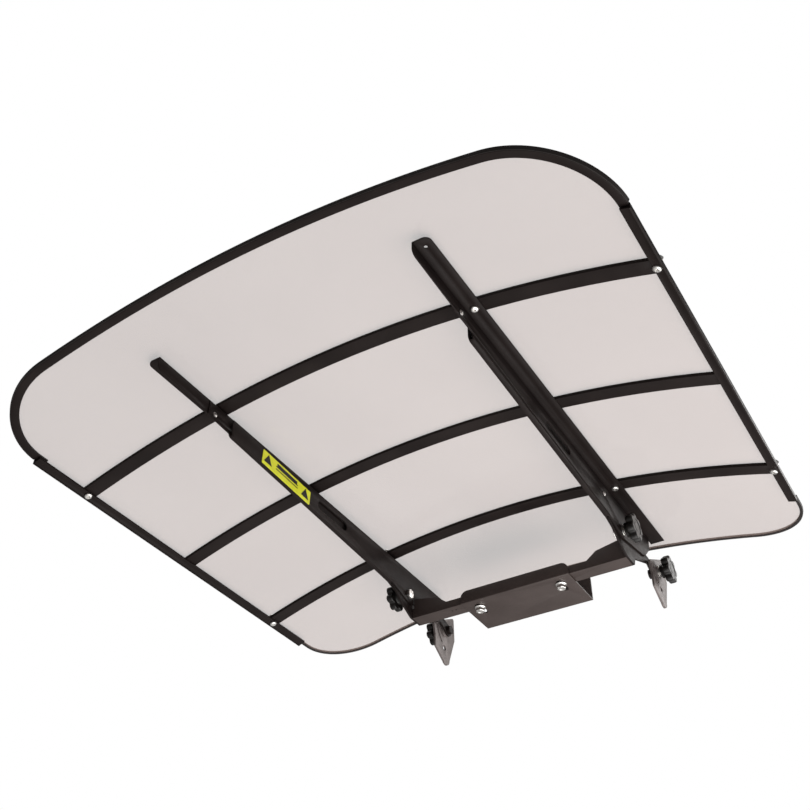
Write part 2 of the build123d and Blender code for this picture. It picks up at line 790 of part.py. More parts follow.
# ---- Plain yellow label plate with dark warning triangles and bars, on the left arm ----------------------
floor_slope = degrees((channel_rear_depth - channel_front_depth) / (angle_rear_y - channel_front_y))
label_centre = (label_y, flange_top - label_drop)
label_plane = Plane(
    origin=(-arm_inner_x, *label_centre),
    x_dir=(0, cos(radians(floor_slope)), -sin(radians(floor_slope))),
    z_dir=(1, 0, 0),
)
with BuildPart() as label_plate:
    with BuildSketch(label_plane):
        RectangleRounded(label_length, label_height, 2)
    extrude(amount=label_thickness)
save(label_plate, "label_plate")

with BuildPart() as label_marks:
    with BuildSketch(label_plane.offset(label_thickness)):
        triangle_y = label_length / 2 - label_end_margin
        with Locations((-triangle_y, -1), (triangle_y, -1)):
            RegularPolygon(label_triangle_radius, 3, rotation=90)
        with Locations((0, 6)):
            Rectangle(label_length / 2.4, 7)
        with GridLocations(1, 5, 1, 2):
            Rectangle(label_length / 2.2, 1.6)
    extrude(amount=label_mark_depth)
save(label_marks, "label_marks")
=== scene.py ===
"""Looks of the tinted overhead screen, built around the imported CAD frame. Everything is in metres."""

import json
from math import asin, atan2, cos, pi, radians, sin, sqrt

import bmesh
import bpy
from mathutils import Matrix, Vector


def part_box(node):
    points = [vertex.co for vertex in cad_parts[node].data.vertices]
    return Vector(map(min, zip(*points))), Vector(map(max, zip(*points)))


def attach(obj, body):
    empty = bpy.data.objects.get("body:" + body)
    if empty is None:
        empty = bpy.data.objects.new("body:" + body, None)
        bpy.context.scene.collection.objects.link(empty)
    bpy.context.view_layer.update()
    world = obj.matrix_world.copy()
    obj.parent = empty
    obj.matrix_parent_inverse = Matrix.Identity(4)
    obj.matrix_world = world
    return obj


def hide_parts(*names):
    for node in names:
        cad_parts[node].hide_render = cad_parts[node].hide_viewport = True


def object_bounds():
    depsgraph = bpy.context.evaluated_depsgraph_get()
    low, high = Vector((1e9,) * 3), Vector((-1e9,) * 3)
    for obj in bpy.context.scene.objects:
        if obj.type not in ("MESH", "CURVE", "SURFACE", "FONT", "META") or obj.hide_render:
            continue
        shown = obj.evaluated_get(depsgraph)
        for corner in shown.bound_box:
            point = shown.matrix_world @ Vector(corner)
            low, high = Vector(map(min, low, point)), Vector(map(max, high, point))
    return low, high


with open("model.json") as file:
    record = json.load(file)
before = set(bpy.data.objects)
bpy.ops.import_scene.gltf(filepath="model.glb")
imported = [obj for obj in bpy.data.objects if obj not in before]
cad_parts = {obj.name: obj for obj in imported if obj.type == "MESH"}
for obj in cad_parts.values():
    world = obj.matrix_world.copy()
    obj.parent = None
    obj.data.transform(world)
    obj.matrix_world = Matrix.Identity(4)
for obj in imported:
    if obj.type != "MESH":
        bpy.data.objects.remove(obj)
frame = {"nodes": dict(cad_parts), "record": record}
cad_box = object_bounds()

MM = 0.001
SIDES = {"left": -1, "right": 1}

# Screen outline and arch, as the CAD has them
HALF_SHEET = 505 * MM
FRONT_CORNER = 137 * MM
REAR_CORNER = 108 * MM
FRONT_BULGE = 3 * MM
REAR_BULGE = 18 * MM
RIB_RADIUS = 1.578
RIB_DEPTH = 6 * MM
SHEET_DEPTH = 3 * MM
TRIM_WALL = 1.2 * MM
BOW_RISE = 2.5 * MM
BOW_WIDTH = 13 * MM
LIP_REACH = 4.0 * MM
EDGE_GAP = 0.02 * MM
MERGE_GAP = 0.002 * MM
SHEET_LOW, SHEET_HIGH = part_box("screen_sheet")
ARCH_CENTRE_Z = SHEET_HIGH.z - RIB_RADIUS - RIB_DEPTH - SHEET_DEPTH


# ---- Node helpers ------------------------------------------------------------------------------


def new_material(name, colour, roughness, metallic=0.0, specular=0.5, alpha=1.0):
    """Material with one Principled shader; the constants sit on the shader's own sockets."""
    material = bpy.data.materials.new(name)
    material.use_nodes = True
    shader = material.node_tree.nodes["Principled BSDF"]
    shader.inputs["Base Color"].default_value = (*colour, 1.0)
    shader.inputs["Roughness"].default_value = roughness
    shader.inputs["Metallic"].default_value = metallic
    shader.inputs["Specular IOR Level"].default_value = specular
    shader.inputs["Alpha"].default_value = alpha
    material.diffuse_color = (*colour, alpha)
    return material, shader


def object_noise(material, scale, detail=2.0, distortion=0.0, stretch=(1, 1, 1)):
    """Noise in the piece's own coordinates."""
    nodes, links = material.node_tree.nodes, material.node_tree.links
    place = nodes.new("ShaderNodeTexCoord")
    mapping = nodes.new("ShaderNodeMapping")
    mapping.inputs["Scale"].default_value = stretch
    noise = nodes.new("ShaderNodeTexNoise")
    noise.inputs["Scale"].default_value = scale
    noise.inputs["Detail"].default_value = detail
    noise.inputs["Distortion"].default_value = distortion
    links.new(place.outputs["Object"], mapping.inputs["Vector"])
    links.new(mapping.outputs["Vector"], noise.inputs["Vector"])
    return noise.outputs["Fac"]


def ramp(material, value, stops):
    """Colour ramp over a value; stops are (position, colour)."""
    node = material.node_tree.nodes.new("ShaderNodeValToRGB")
    elements = node.color_ramp.elements
    while len(elements) < len(stops):
        elements.new(0.5)
    for element, (position, colour) in zip(elements, stops):
        element.position = position
        element.color = (*colour, 1.0)
    material.node_tree.links.new(value, node.inputs["Fac"])
    return node.outputs["Color"]


def spread(material, value, low, high):
    """Map a 0..1 value to the range low..high."""
    node = material.node_tree.nodes.new("ShaderNodeMapRange")
    node.inputs["To Min"].default_value = low
    node.inputs["To Max"].default_value = high
    material.node_tree.links.new(value, node.inputs["Value"])
    return node.outputs["Result"]


def bump(material, shader, height, strength, distance):
    """Fine relief on the shader's normal."""
    node = material.node_tree.nodes.new("ShaderNodeBump")
    node.inputs["Strength"].default_value = strength
    node.inputs["Distance"].default_value = distance
    material.node_tree.links.new(height, node.inputs["Height"])
    material.node_tree.links.new(node.outputs["Normal"], shader.inputs["Normal"])


def dress(material, shader, tone, sheen, relief, strength, distance):
    """Join a colour, a roughness and a relief to the shader."""
    links = material.node_tree.links
    links.new(tone, shader.inputs["Base Color"])
    links.new(sheen, shader.inputs["Roughness"])
    bump(material, shader, relief, strength, distance)


# ---- Materials -----------------------------------------------------------------------------------


def powder_coat(name, dark, light, specular):
    """Near-black powder coat with a fine orange-peel surface, mottled between two tones."""
    material, shader = new_material(name, light, 0.42, specular=specular)
    tone = ramp(material, object_noise(material, 14.0, 4.0), [(0.3, dark), (0.7, light)])
    sheen = spread(material, object_noise(material, 60.0, 3.0), 0.34, 0.52)
    dress(material, shader, tone, sheen, object_noise(material, 900.0, 2.0), 0.25, 0.15 * MM)
    return material


def tinted_sheet():
    """Clear sheet with a warm smoke tint, faint haze and long soft extrusion lines."""
    material, shader = new_material("smoke_sheet", (0.30, 0.25, 0.235), 0.16, specular=0.4, alpha=0.33)
    haze = object_noise(material, 3.0, 3.0, 0.4)
    tone = ramp(material, haze, [(0.3, (0.345, 0.262, 0.240)), (0.7, (0.395, 0.310, 0.287))])
    sheen = spread(material, object_noise(material, 8.0, 2.0), 0.12, 0.20)
    draw_lines = object_noise(material, 3.0, 1.0, stretch=(4, 0.4, 1))
    dress(material, shader, tone, sheen, draw_lines, 0.03, 0.4 * MM)
    return material


def bright_zinc():
    """Bright zinc plating with fine turned grain and faint tarnish."""
    material, shader = new_material("bright_zinc", (0.78, 0.76, 0.74), 0.28, metallic=1.0)
    tarnish = object_noise(material, 180.0, 4.0)
    tone = ramp(material, tarnish, [(0.25, (0.62, 0.60, 0.58)), (0.75, (0.86, 0.85, 0.83))])
    sheen = spread(material, object_noise(material, 500.0, 3.0), 0.20, 0.42)
    turned_grain = object_noise(material, 1600.0, 2.0, stretch=(1, 6, 1))
    dress(material, shader, tone, sheen, turned_grain, 0.12, 0.05 * MM)
    return material


def moulded_plastic():
    """Black moulded knob plastic with a fine spark-eroded grain."""
    material, shader = new_material("knob_plastic", (0.007, 0.006, 0.0055), 0.4, specular=0.35)
    cloud = object_noise(material, 40.0, 3.0)
    tone = ramp(material, cloud, [(0.3, (0.005, 0.0042, 0.004)), (0.7, (0.009, 0.0078, 0.0072))])
    sheen = spread(material, object_noise(material, 120.0, 3.0), 0.30, 0.46)
    dress(material, shader, tone, sheen, object_noise(material, 2200.0, 2.0), 0.35, 0.10 * MM)
    return material


def cast_metal():
    """Warm grey cast lug with a satin skin and soft mottling."""
    material, shader = new_material("cast_lug", (0.22, 0.195, 0.188), 0.48, metallic=0.25, specular=0.4)
    cloud = object_noise(material, 70.0, 5.0)
    tone = ramp(material, cloud, [(0.3, (0.105, 0.088, 0.084)), (0.7, (0.165, 0.142, 0.137))])
    sheen = spread(material, object_noise(material, 260.0, 3.0), 0.36, 0.58)
    dress(material, shader, tone, sheen, object_noise(material, 700.0, 4.0), 0.35, 0.25 * MM)
    return material


def edge_rubber():
    """Soft black rubber lip with faint bloom."""
    material, shader = new_material("edge_rubber", (0.022, 0.018, 0.017), 0.6, specular=0.3)
    bloom = object_noise(material, 30.0, 4.0)
    tone = ramp(material, bloom, [(0.3, (0.012, 0.009, 0.0085)), (0.75, (0.024, 0.019, 0.018))])
    sheen = spread(material, object_noise(material, 90.0, 3.0), 0.50, 0.70)
    dress(material, shader, tone, sheen, object_noise(material, 1200.0, 3.0), 0.3, 0.12 * MM)
    return material


def label_vinyl(name, colour, darker):
    """Printed vinyl with a slight gloss and faint ink variation."""
    material, shader = new_material(name, colour, 0.32, specular=0.4)
    tone = ramp(material, object_noise(material, 90.0, 3.0), [(0.25, darker), (0.75, colour)])
    sheen = spread(material, object_noise(material, 200.0, 2.0), 0.26, 0.40)
    dress(material, shader, tone, sheen, object_noise(material, 500.0, 2.0), 0.08, 0.05 * MM)
    return material


BLACK = powder_coat("black_powder_coat", (0.0100, 0.0070, 0.0065), (0.0165, 0.0120, 0.0112), 0.10)
# Lighter copy of the black powder coat for the cross-member and centre bracket. Its lighter tones are painted
# light, standing in for the brighter light these parts catch from below. Its higher specular gives a satin
# sheen.
SATIN_PAINTED_LIGHT = powder_coat("satin_powder_coat_painted_light", (0.040, 0.029, 0.0265), (0.054, 0.0405, 0.0375), 0.30)
SHEET = tinted_sheet()
ZINC = bright_zinc()
KNOB = moulded_plastic()
CAST = cast_metal()
RUBBER = edge_rubber()
YELLOW = label_vinyl("label_yellow", (0.78, 0.80, 0.035), (0.66, 0.68, 0.025))
INK = label_vinyl("label_ink", (0.012, 0.011, 0.010), (0.008, 0.007, 0.007))

FINISH = {
    "tinted_sheet": SHEET,
    "black_steel": BLACK,
    "zinc_hardware": ZINC,
    "knob_plastic": KNOB,
    "cast_lug": CAST,
    "trim_rubber": RUBBER,
    "label_yellow": YELLOW,
    "label_black": INK,
}
# Nodes that get the lighter copy of the black coat, whose lighter tone is painted light.
SATIN_PAINTED_LIGHT_NODES = ("cross_member", "centre_bracket")
NODE_SLOT = {entry["node"]: entry["material_slot"] for entry in frame["record"]["subparts"]}
NODE_BODY = {node: body for body, nodes in frame["record"]["behaviour"]["bodies"].items() for node in nodes}
for node_name, node_object in frame["nodes"].items():
    node_object.data.materials.clear()
    node_object.data.materials.append(SATIN_PAINTED_LIGHT if node_name in SATIN_PAINTED_LIGHT_NODES else FINISH[NODE_SLOT[node_name]])


# ---- Mesh helpers --------------------------------------------------------------------------------


def linked(name, data):
    """New object in the scene."""
    piece = bpy.data.objects.new(name, data)
    bpy.context.scene.collection.objects.link(piece)
    return piece


def finish_piece(name, mesh, node, material=None):
    """Link a finished mesh as the piece that stands for a CAD node."""
    piece = linked(name, mesh)
    mesh.materials.clear()
    mesh.materials.append(material or FINISH[NODE_SLOT[node]])
    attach(piece, NODE_BODY[node])
    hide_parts(node)
    return piece


def smooth_by_angle(mesh, angle):
    """Smooth shading, with edges sharper than the angle kept sharp."""
    work = bmesh.new()
    work.from_mesh(mesh)
    for face in work.faces:
        face.smooth = True
    for edge in work.edges:
        edge.smooth = not (len(edge.link_faces) == 2 and edge.calc_face_angle() > angle)
    work.to_mesh(mesh)
    work.free()


def baked(piece):
    """Plain mesh of an object with its modifiers applied; the object is removed."""
    mesh = bpy.data.meshes.new_from_object(piece.evaluated_get(bpy.context.evaluated_depsgraph_get()))
    bpy.data.objects.remove(piece)
    return mesh


def bridge(work, loops):
    """Quads between each closed loop of vertices and the next."""
    for first, second in zip(loops, loops[1:]):
        count = len(first)
        for k in range(count):
            after = (k + 1) % count
            work.faces.new((first[k], first[after], second[after], second[k]))


def closed_mesh(work, name, angle):
    """Mesh of a closed shell, with its faces outward and smooth up to the angle."""
    bmesh.ops.recalc_face_normals(work, faces=work.faces)
    mesh = bpy.data.meshes.new(name)
    work.to_mesh(mesh)
    work.free()
    smooth_by_angle(mesh, angle)
    return mesh


def soften(node, width):
    """Copy of a CAD node with its sharp edges rounded."""
    source = frame["nodes"][node]
    mesh = source.data.copy()
    work = bmesh.new()
    work.from_mesh(mesh)
    bmesh.ops.remove_doubles(work, verts=work.verts, dist=MERGE_GAP)
    flat = radians(0.5)
    bmesh.ops.dissolve_limit(work, angle_limit=flat, verts=work.verts, edges=work.edges, delimit=set())
    work.to_mesh(mesh)
    work.free()
    piece = linked(f"{node}_rounded", mesh)
    bevel = piece.modifiers.new("edges", "BEVEL")
    bevel.width = width
    bevel.segments = 2
    bevel.limit_method = "ANGLE"
    bevel.angle_limit = radians(40)
    bevel.use_clamp_overlap = True
    bevel.harden_normals = False
    rounded = baked(piece)
    bpy.data.meshes.remove(mesh)
    smooth_by_angle(rounded, radians(32))
    rounded.name = f"{node}_rounded"
    return finish_piece(f"{node}_rounded", rounded, node, SATIN_PAINTED_LIGHT if node in SATIN_PAINTED_LIGHT_NODES else None)


# ---- Screen sheet and the strips along its edge ------------------------------------------------------

FRONT_Y = SHEET_LOW.y
REAR_Y = SHEET_HIGH.y


def corner_centre(end_y, radius, bulge, sign):
    """Centre of the round corner between a straight side and a slightly bowed end."""
    bow = (HALF_SHEET**2 + bulge**2) / (2 * bulge)
    bow_centre = end_y - sign * bow
    across = HALF_SHEET - radius
    return across, bow_centre + sign * sqrt((bow - radius) ** 2 - across**2), bow, bow_centre


REAR_DATA = corner_centre(REAR_Y, REAR_CORNER, REAR_BULGE, 1)
FRONT_DATA = corner_centre(FRONT_Y, FRONT_CORNER, FRONT_BULGE, -1)


def edge_y(x, data, radius, sign):
    """Y of the sheet's front or rear edge at a distance x from the middle."""
    across, centre_y, bow, bow_centre = data
    touch = across * bow / (bow - radius)
    x = abs(x)
    if x <= touch:
        return bow_centre + sign * sqrt(bow**2 - x**2)
    return centre_y + sign * sqrt(max(radius**2 - (x - across) ** 2, 0))


def arch_point(x, y, lift):
    """Point on the arch at (x, y), lifted along the arch's normal from the ribs' underside."""
    angle = asin(x / RIB_RADIUS)
    radius = RIB_RADIUS + lift
    return Vector((radius * sin(angle), y, ARCH_CENTRE_Z + radius * cos(angle)))


def build_sheet():
    """One even curved sheet, as columns of quads across the arch."""
    columns, rows = 128, 96
    work = bmesh.new()
    grid = []
    for i in range(columns + 1):
        x = -HALF_SHEET * cos(pi * i / columns)
        radius = RIB_RADIUS + RIB_DEPTH
        z = ARCH_CENTRE_Z + sqrt(radius**2 - x**2)
        low = edge_y(x, FRONT_DATA, FRONT_CORNER, -1)
        high = edge_y(x, REAR_DATA, REAR_CORNER, 1)
        grid.append([work.verts.new((x, low + (high - low) * j / rows, z)) for j in range(rows + 1)])
    for i in range(columns):
        for j in range(rows):
            work.faces.new((grid[i][j], grid[i + 1][j], grid[i + 1][j + 1], grid[i][j + 1]))
    bmesh.ops.recalc_face_normals(work, faces=work.faces)
    mesh = bpy.data.meshes.new("sheet")
    work.to_mesh(mesh)
    work.free()
    piece = linked("sheet_draft", mesh)
    solid = piece.modifiers.new("depth", "SOLIDIFY")
    solid.thickness = SHEET_DEPTH
    solid.offset = 1.0 if mesh.polygons[0].normal.z > 0 else -1.0
    rim = piece.modifiers.new("rim", "BEVEL")
    rim.width = 0.4 * MM
    rim.limit_method = "ANGLE"
    rim.angle_limit = radians(50)
    final = baked(piece)
    smooth_by_angle(final, radians(30))
    return finish_piece("smoke_sheet", final, "screen_sheet")


def edge_route(front):
    """Points, outward directions and arch normals along the sheet's front or rear edge."""
    data, radius, sign = (FRONT_DATA, FRONT_CORNER, -1) if front else (REAR_DATA, REAR_CORNER, 1)
    across, centre_y, bow, bow_centre = data
    end_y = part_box("front_bow" if front else "side_rail_left")[1].y
    plan = []
    turn = atan2(across, sqrt((bow - radius) ** 2 - across**2))
    straight_steps, corner_steps, bow_steps = 12, 32, 80
    for k in range(straight_steps):
        plan.append((HALF_SHEET, end_y + (centre_y - end_y) * k / straight_steps, 1.0, 0.0))
    for k in range(corner_steps + 1):
        angle = (pi / 2 - turn) * k / corner_steps
        out_x, out_y = cos(angle), sign * sin(angle)
        plan.append((across + radius * out_x, centre_y + radius * out_y, out_x, out_y))
    for k in range(1, bow_steps + 1):
        angle = turn * (1 - k / bow_steps)
        out_x, out_y = sin(angle), sign * cos(angle)
        plan.append((bow * out_x, bow_centre + bow * out_y, out_x, out_y))
    mirrored = [(-x, y, -out_x, out_y) for x, y, out_x, out_y in reversed(plan[:-1])]
    route = []
    for x, y, out_x, out_y in plan + mirrored:
        slope = asin(x / RIB_RADIUS)
        outward = Vector((out_x * cos(slope), out_y, -out_x * sin(slope))).normalized()
        normal = Vector((sin(slope), 0, cos(slope)))
        route.append((x, y, outward, normal))
    return route


def strip(name, node, route, profile):
    """Sweep a closed profile of (outward, up) points along an edge route, with closed ends."""
    work = bmesh.new()
    rings = []
    for x, y, outward, normal in route:
        base = arch_point(x, y, 0)
        rings.append([work.verts.new(base + outward * out + normal * up) for out, up in profile])
    bridge(work, rings)
    work.faces.new(rings[0])
    work.faces.new(list(reversed(rings[-1])))
    return finish_piece(name, closed_mesh(work, name, radians(40)), node)


def rounded_outline(corners, radius, steps=3):
    """Closed profile through the corners, each one rounded."""
    points = []
    count = len(corners)
    for k, corner in enumerate(corners):
        here = Vector((corner[0], corner[1], 0))
        back = Vector((*corners[k - 1], 0)) - here
        ahead = Vector((*corners[(k + 1) % count], 0)) - here
        r = min(radius, back.length / 2.05, ahead.length / 2.05)
        start, end = here + back.normalized() * r, here + ahead.normalized() * r
        for s in range(steps + 1):
            t = s / steps
            point = start * (1 - t) ** 2 + here * 2 * t * (1 - t) + end * t**2
            points.append((point.x, point.y))
    return points


def build_edges():
    """Front bow and the thin lips over the front and rear edges."""
    sheet_under = RIB_DEPTH - EDGE_GAP
    sheet_top = RIB_DEPTH + SHEET_DEPTH
    lip_top = sheet_top + TRIM_WALL
    cap_low = BOW_RISE + 0.2 * MM
    lip_round = 0.7 * MM
    bow_corners = [(0, BOW_RISE), (-BOW_WIDTH, BOW_RISE), (-BOW_WIDTH, sheet_under), (0, sheet_under)]
    strip("front_bow_bar", "front_bow", edge_route(True), rounded_outline(bow_corners, 0.9 * MM))
    cap = rounded_outline(
        [
            (TRIM_WALL, cap_low),
            (EDGE_GAP, cap_low),
            (EDGE_GAP, sheet_top + EDGE_GAP),
            (-LIP_REACH, sheet_top + EDGE_GAP),
            (-LIP_REACH, lip_top),
            (TRIM_WALL, lip_top),
        ],
        lip_round,
    )
    front = [p for p in edge_route(True) if p[1] <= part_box("front_trim")[1].y]
    strip("front_edge_lip", "front_trim", front, cap)
    channel = rounded_outline(
        [
            (TRIM_WALL, RIB_DEPTH - TRIM_WALL),
            (-LIP_REACH, RIB_DEPTH - TRIM_WALL),
            (-LIP_REACH, sheet_under),
            (EDGE_GAP, sheet_under),
            (EDGE_GAP, sheet_top + EDGE_GAP),
            (-LIP_REACH, sheet_top + EDGE_GAP),
            (-LIP_REACH, lip_top),
            (TRIM_WALL, lip_top),
        ],
        lip_round,
    )
    strip("rear_edge_lip", "rear_trim", edge_route(False), channel)


build_sheet()
build_edges()

# ---- Sheet metal, ribs and lugs with rounded edges ---------------------------------------------------

THIN_EDGE = 0.45 * MM
PLATE_EDGE = 0.6 * MM
LUG_EDGE = 0.7 * MM
RIB_EDGE = 0.8 * MM

for plate_side in SIDES:
    soften(f"side_rail_{plate_side}", PLATE_EDGE)
    soften(f"arm_angle_{plate_side}", THIN_EDGE)
    soften(f"arm_channel_{plate_side}", THIN_EDGE)
    soften(f"cheek_{plate_side}", PLATE_EDGE)
    soften(f"lug_{plate_side}", LUG_EDGE)
for rib_name in ("rib_front", "rib_middle", "rib_rear"):
    soften(rib_name, RIB_EDGE)
soften("cross_member", PLATE_EDGE)
soften("centre_bracket", PLATE_EDGE)


# ---- Turned and hexagonal hardware --------------------------------------------------------------------

SMALL_SHANK = 3.0 * MM
LARGE_SHANK = 5.0 * MM
LARGE_FLATS = 8.5 * MM
COARSE_PITCH = 1.5 * MM
KNOB_RADIUS = 26 * MM
KNOB_LOBES = 7
LOBE_RADIUS = 7.2 * MM
VALLEY_RADIUS = 20.6 * MM


def ring_radius(shape, size, angle):
    """Radius of a ring's outline at an angle, for round, hexagonal or lobed rings."""
    if shape == "hex":
        return size / cos((angle + pi / 6) % (pi / 3) - pi / 6)
    if shape == "lobe":
        lobe = size * LOBE_RADIUS / KNOB_RADIUS
        reach = size - lobe
        off = (angle + pi / KNOB_LOBES) % (2 * pi / KNOB_LOBES) - pi / KNOB_LOBES
        valley = size * VALLEY_RADIUS / KNOB_RADIUS
        inside = lobe**2 - (reach * sin(off)) ** 2
        if inside <= 0:
            return valley
        bulge = reach * cos(off) + sqrt(inside)
        soft = size * 0.03
        return max(valley, bulge) + soft * max(0, 1 - abs(bulge - valley) / soft) ** 2 / 4
    return size


def ring_loops(work, rings, segments):
    """Loops of vertices for a list of (height, size, shape) rings."""
    loops = []
    for height, size, shape in rings:
        loop = []
        for k in range(segments):
            angle = 2 * pi * k / segments
            radius = ring_radius(shape, size, angle)
            loop.append(work.verts.new((radius * cos(angle), radius * sin(angle), height)))
        loops.append(loop)
    return loops


def ringed_solid(name, rings, segments=48):
    """Closed solid along +Z through a list of (height, size, shape) rings."""
    work = bmesh.new()
    loops = ring_loops(work, rings, segments)
    bridge(work, loops)
    for loop in (loops[0], loops[-1]):
        centre = work.verts.new(sum((v.co for v in loop), Vector()) / segments)
        for k in range(segments):
            work.faces.new((loop[k], loop[(k + 1) % segments], centre))
    return closed_mesh(work, name, radians(35))


def tube_solid(name, rings, bore, segments=48):
    """Closed ring-shaped solid along +Z: outer rings as in ringed_solid, with a round bore through it."""
    work = bmesh.new()
    low, high = rings[0][0], rings[-1][0]
    loops = ring_loops(work, [(low, bore, "round"), *rings, (high, bore, "round")], segments)
    bridge(work, loops + loops[:1])
    return closed_mesh(work, name, radians(35))


def thread(start, end, radius, pitch=1.0 * MM):
    """Rings of a plain screw thread between two heights."""
    depth, crest = 0.28 * pitch, radius - 0.02 * MM
    rings = []
    turns = max(1, round((end - start) / pitch))
    step = (end - start) / turns
    for k in range(turns):
        height = start + k * step
        rings.append((height + 0.02 * step, radius - depth, "round"))
        rings.append((height + 0.45 * step, crest, "round"))
        rings.append((height + 0.60 * step, crest, "round"))
    return rings


def loose_parts(node):
    """The separate solids of a CAD node, each as a list of points."""
    work = bmesh.new()
    work.from_mesh(frame["nodes"][node].data)
    bmesh.ops.remove_doubles(work, verts=work.verts, dist=MERGE_GAP)
    parts, seen = [], set()
    for start in work.verts:
        if start.index in seen:
            continue
        group, queue = [], [start]
        seen.add(start.index)
        while queue:
            vert = queue.pop()
            group.append(vert.co.copy())
            for edge in vert.link_edges:
                other = edge.other_vert(vert)
                if other.index not in seen:
                    seen.add(other.index)
                    queue.append(other)
        parts.append(group)
    work.free()
    return parts


def stations(node, facing):
    """Base point, direction and length of each solid in a hardware node; facing gives the direction."""
    found = []
    for points in loose_parts(node):
        middle = sum(points, Vector()) / len(points)
        along = facing(middle).normalized()
        side = along.orthogonal().normalized()
        third = along.cross(side)
        spans = [(min(p.dot(a) for p in points), max(p.dot(a) for p in points)) for a in (along, side, third)]
        base = along * spans[0][0] + side * sum(spans[1]) / 2 + third * sum(spans[2]) / 2
        found.append((base, along, spans[0][1] - spans[0][0]))
    return found


def hardware_tree():
    """Geometry Nodes: one part on every station, turned to face along its direction."""
    tree = bpy.data.node_groups.new("hardware_on_stations", "GeometryNodeTree")
    for label, kind in (("Geometry", "NodeSocketGeometry"), ("Part", "NodeSocketObject"),
                        ("Finish", "NodeSocketMaterial"), ("Size", "NodeSocketFloat")):
        tree.interface.new_socket(label, in_out="INPUT", socket_type=kind)
    tree.interface.new_socket("Geometry", in_out="OUTPUT", socket_type="NodeSocketGeometry")
    nodes, links = tree.nodes, tree.links
    entry, leave = nodes.new("NodeGroupInput"), nodes.new("NodeGroupOutput")
    part = nodes.new("GeometryNodeObjectInfo")
    facing = nodes.new("GeometryNodeInputNamedAttribute")
    facing.data_type = "FLOAT_VECTOR"
    facing.inputs["Name"].default_value = "facing"
    reference = nodes.new("GeometryNodeInputNamedAttribute")
    reference.data_type = "FLOAT_VECTOR"
    reference.inputs["Name"].default_value = "reference"
    align = nodes.new("FunctionNodeAlignRotationToVector")
    align.axis = "Z"
    pivot = nodes.new("FunctionNodeAlignRotationToVector")
    pivot.axis = "X"
    pivot.pivot_axis = "Z"
    spot = nodes.new("GeometryNodeInstanceOnPoints")
    real = nodes.new("GeometryNodeRealizeInstances")
    finish = nodes.new("GeometryNodeSetMaterial")
    links.new(entry.outputs["Part"], part.inputs["Object"])
    links.new(facing.outputs["Attribute"], align.inputs["Vector"])
    links.new(align.outputs["Rotation"], pivot.inputs["Rotation"])
    links.new(reference.outputs["Attribute"], pivot.inputs["Vector"])
    links.new(entry.outputs["Geometry"], spot.inputs["Points"])
    links.new(part.outputs["Geometry"], spot.inputs["Instance"])
    links.new(pivot.outputs["Rotation"], spot.inputs["Rotation"])
    links.new(entry.outputs["Size"], spot.inputs["Scale"])
    links.new(spot.outputs["Instances"], real.inputs["Geometry"])
    links.new(real.outputs["Geometry"], finish.inputs["Geometry"])
    links.new(entry.outputs["Finish"], finish.inputs["Material"])
    links.new(finish.outputs["Geometry"], leave.inputs["Geometry"])
    return tree


def run_tree(name, base_mesh, tree, values):
    """Evaluate a Geometry Nodes tree on a mesh and return the plain result."""
    holder = linked(f"{name}_holder", base_mesh)
    modifier = holder.modifiers.new(name, "NODES")
    modifier.node_group = tree
    for item in tree.interface.items_tree:
        if item.item_type == "SOCKET" and item.in_out == "INPUT" and item.name in values:
            modifier[item.identifier] = values[item.name]
    depsgraph = bpy.context.evaluated_depsgraph_get()
    result = bpy.data.meshes.new_from_object(holder.evaluated_get(depsgraph))
    holder.modifiers.remove(modifier)
    bpy.data.objects.remove(holder)
    return result


def point_mesh(name, places):
    """Vertices with facing and reference directions for the hardware tree."""
    mesh = bpy.data.meshes.new(name)
    mesh.from_pydata([tuple(base) for base, _, _ in places], [], [])
    facing = mesh.attributes.new("facing", "FLOAT_VECTOR", "POINT")
    reference = mesh.attributes.new("reference", "FLOAT_VECTOR", "POINT")
    for k, (_, along, across) in enumerate(places):
        facing.data[k].vector = along
        reference.data[k].vector = across
    return mesh


HARDWARE = hardware_tree()


def place_hardware(name, node, facing, reference, make_mesh, material=ZINC):
    """Replace a hardware node by detailed parts on the same stations."""
    found = stations(node, facing)
    pattern = linked(f"{name}_pattern", make_mesh(found[0][2]))
    places = [(base, along, reference(along)) for base, along, _ in found]
    values = {"Part": pattern, "Finish": material, "Size": 1.0}
    result = run_tree(name, point_mesh(name, places), HARDWARE, values)
    bpy.data.objects.remove(pattern)
    return finish_piece(name, result, node, material)


def button_bolt(length):
    """Domed button head with a hexagonal socket, and a threaded shank."""
    head, rim, radius, shank = 3.6 * MM, 1.2 * MM, 6.5 * MM, SMALL_SHANK
    dome_steps, point = 8, 0.8 * MM
    rings = [
        (2.0 * MM, 1.9 * MM, "hex"),
        (0.15 * MM, 2.0 * MM, "hex"),
        (0, 2.15 * MM, "hex"),
        (0, 2.9 * MM, "round"),
    ]
    for k in range(1, dome_steps + 1):
        angle = pi / 2 * k / dome_steps
        rings.append(((head - rim) * (1 - cos(angle)), 3.2 * MM + (radius - 3.3 * MM) * sin(angle), "round"))
    rings += [
        (head - rim + 0.3 * MM, radius, "round"),
        (head - 0.2 * MM, radius, "round"),
        (head, radius - 0.2 * MM, "round"),
        (head, shank - 0.05 * MM, "round"),
    ]
    rings += thread(head + 6 * MM, length - point, shank)
    rings += [(length - point, shank - 0.3 * MM, "round"), (length, shank - 0.9 * MM, "round")]
    return ringed_solid("button_bolt", rings)


def small_nut(length):
    """Hexagonal nut with chamfered ends."""
    flats = 5.0 * MM
    rings = [
        (0, flats * 0.94, "round"),
        (0.5 * MM, flats * 0.985, "hex"),
        (length - 0.5 * MM, flats * 0.985, "hex"),
        (length, flats * 0.94, "round"),
    ]
    return tube_solid("small_nut", rings, SMALL_SHANK)


